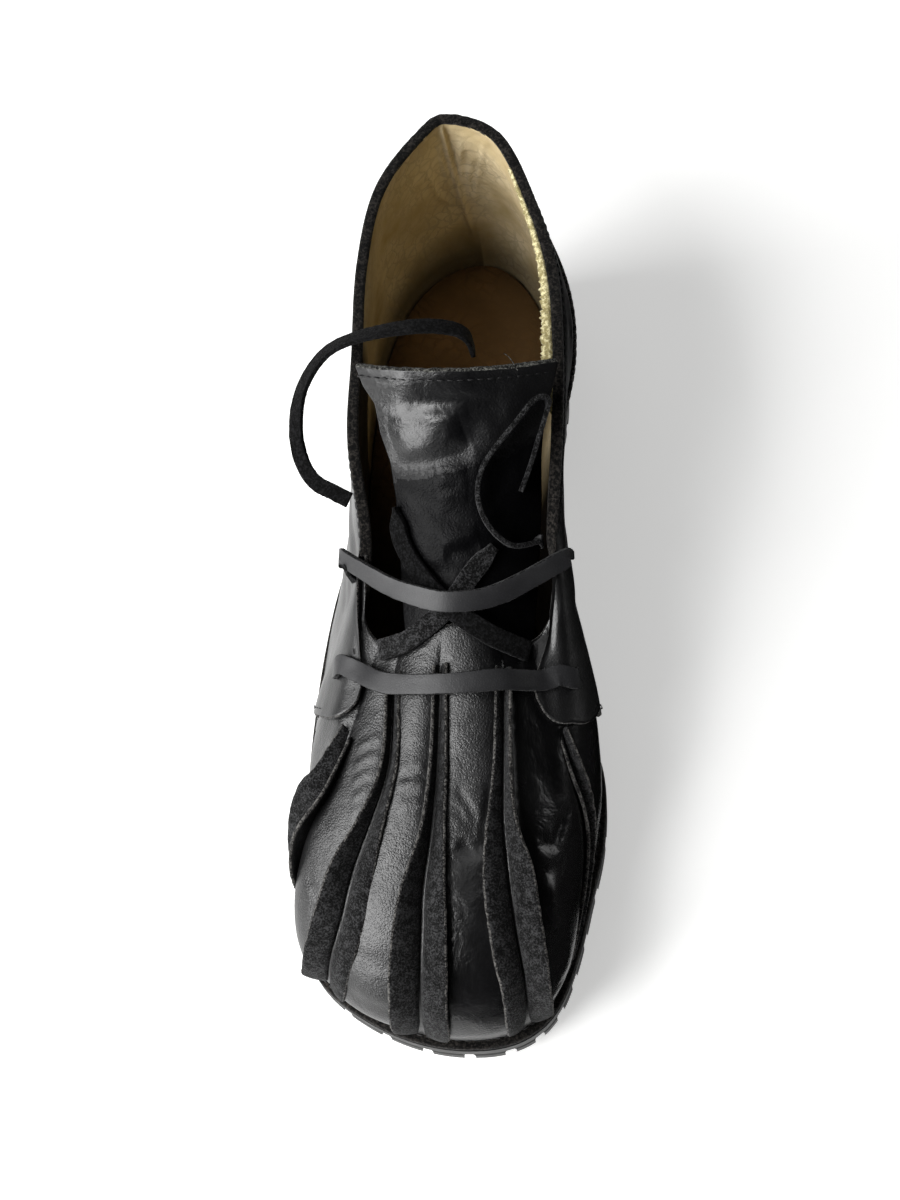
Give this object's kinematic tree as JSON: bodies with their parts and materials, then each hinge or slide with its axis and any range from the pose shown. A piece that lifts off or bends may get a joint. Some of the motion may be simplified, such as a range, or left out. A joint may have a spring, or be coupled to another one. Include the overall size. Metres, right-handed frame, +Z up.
{
  "type": "lace-up shoe",
  "caption": "Ankle-high black leather lace-up shoe for the right foot, square toe with raw turned-out seams, on a lugged rubber sole.",
  "frame": {"origin": "on the floor under the middle of the shoe's outline, laces' free ends left out", "axes": "+Z up, toe towards -Y, heel towards +Y, big-toe side towards +X"},
  "size_m": [0.1041, 0.2988, 0.1279],
  "materials": {
    "black_rubber": "matt, dusty",
    "black_leather": "soft sheen, grained",
    "black_suede": "rough flesh side",
    "tan_lining": "matt, creased"
  },
  "bodies": {
    "root": {"outsole": "black_rubber", "welt": "black_leather", "insole": "tan_lining", "upper": "black_leather", "quarter_lateral": "black_leather", "quarter_medial": "black_leather", "heel_counter": "black_leather", "toe_seam_1": "black_suede", "toe_seam_2": "black_suede", "toe_seam_3": "black_suede", "toe_seam_4": "black_suede", "toe_seam_5": "black_suede", "tongue": "black_leather", "lace_bar_lower": "black_leather", "lace_bar_upper": "black_leather", "lace_cross": "black_suede", "lace_end_lateral": "black_suede", "lace_end_medial": "black_suede"}
  },
  "joints": []
}
